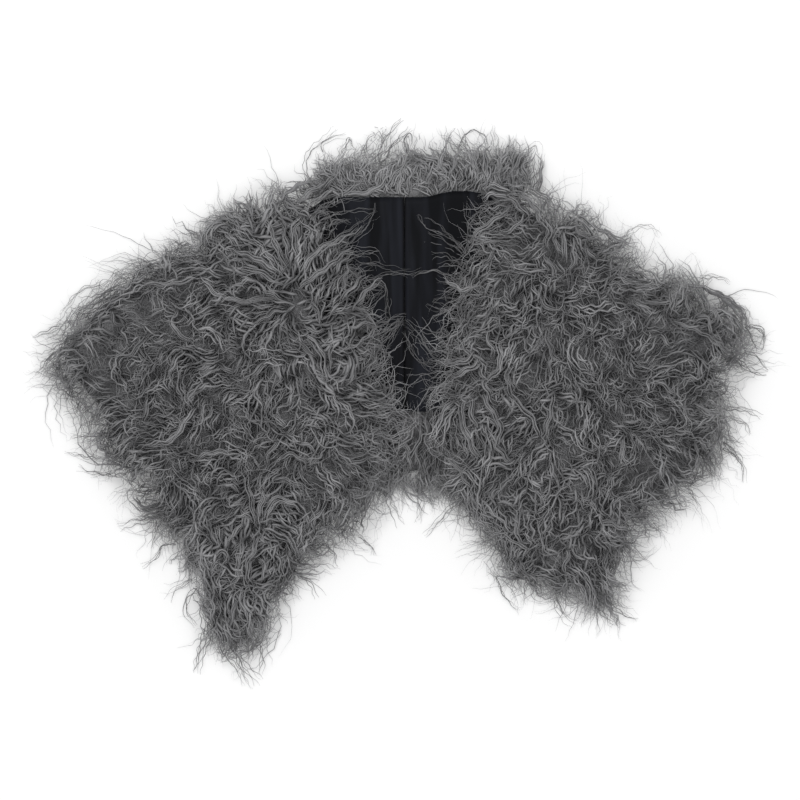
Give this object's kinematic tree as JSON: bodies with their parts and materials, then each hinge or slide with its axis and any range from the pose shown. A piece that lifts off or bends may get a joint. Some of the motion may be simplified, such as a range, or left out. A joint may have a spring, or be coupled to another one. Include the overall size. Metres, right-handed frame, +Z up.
{
  "type": "costume cloak",
  "caption": "Short open-fronted costume cloak of long curly fur cloth with a dark satin lining, laid flat on its back with its fronts turned in over the lining.",
  "frame": {"origin": "middle of the footprint, on the surface that the cloak lies on", "axes": "+X to the right and +Y to the neck edge, as seen from above, +Z up from the surface"},
  "size_m": [0.6638, 0.5216, 0.0454],
  "materials": {
    "fur": "long curly pile, matt grey, paler at the tips",
    "satin": "black lining satin with a soft sheen"
  },
  "bodies": {
    "root": {"back": "fur", "front_left": "fur", "front_right": "fur", "lining_left": "satin", "lining_right": "satin"}
  },
  "joints": []
}
